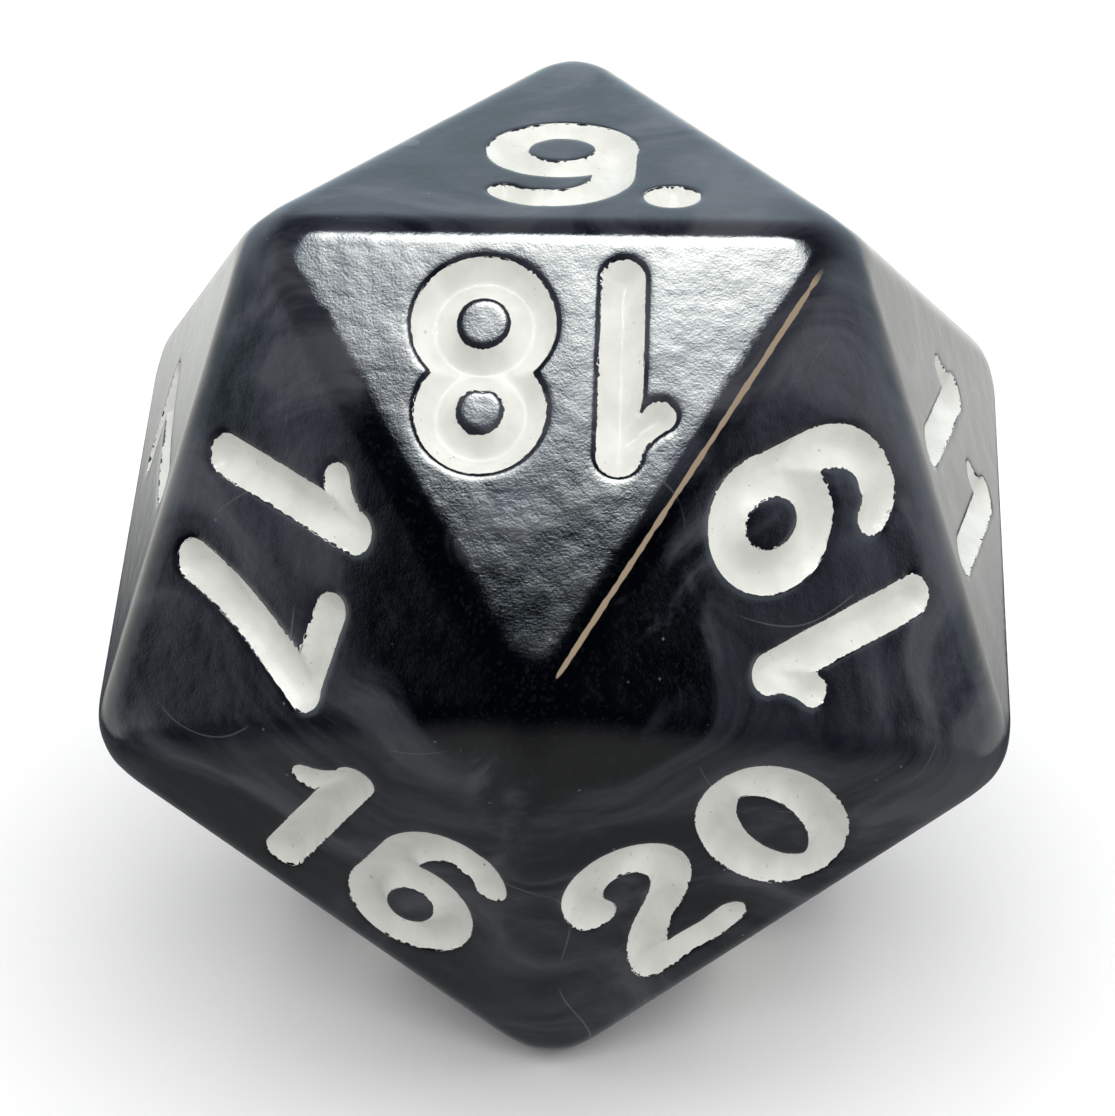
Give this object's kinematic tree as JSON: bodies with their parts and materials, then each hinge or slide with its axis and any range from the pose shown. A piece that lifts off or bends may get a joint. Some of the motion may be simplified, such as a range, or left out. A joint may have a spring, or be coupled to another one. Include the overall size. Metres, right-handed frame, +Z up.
{
  "type": "polyhedral die",
  "caption": "Countdown polyhedral die: an icosahedron with rounded edges and corners, engraved numerals filled with white paint, in dark marbled plastic.",
  "frame": {"origin": "middle of the face that carries 14, which the die rests on", "axes": "+Z up, out of the face that carries 9; -Y towards the side of the face that carries 18"},
  "size_m": [0.0234, 0.0262, 0.022],
  "materials": {
    "body": "gloss",
    "numeral_paint": "gloss"
  },
  "bodies": {
    "root": {"die_body": "body", "numeral_01_paint": "numeral_paint", "numeral_02_paint": "numeral_paint", "numeral_03_paint": "numeral_paint", "numeral_04_paint": "numeral_paint", "numeral_05_paint": "numeral_paint", "numeral_06_paint": "numeral_paint", "numeral_07_paint": "numeral_paint", "numeral_08_paint": "numeral_paint", "numeral_09_paint": "numeral_paint", "numeral_10_paint": "numeral_paint", "numeral_11_paint": "numeral_paint", "numeral_12_paint": "numeral_paint", "numeral_13_paint": "numeral_paint", "numeral_14_paint": "numeral_paint", "numeral_15_paint": "numeral_paint", "numeral_16_paint": "numeral_paint", "numeral_17_paint": "numeral_paint", "numeral_18_paint": "numeral_paint", "numeral_19_paint": "numeral_paint", "numeral_20_paint": "numeral_paint"}
  },
  "joints": []
}
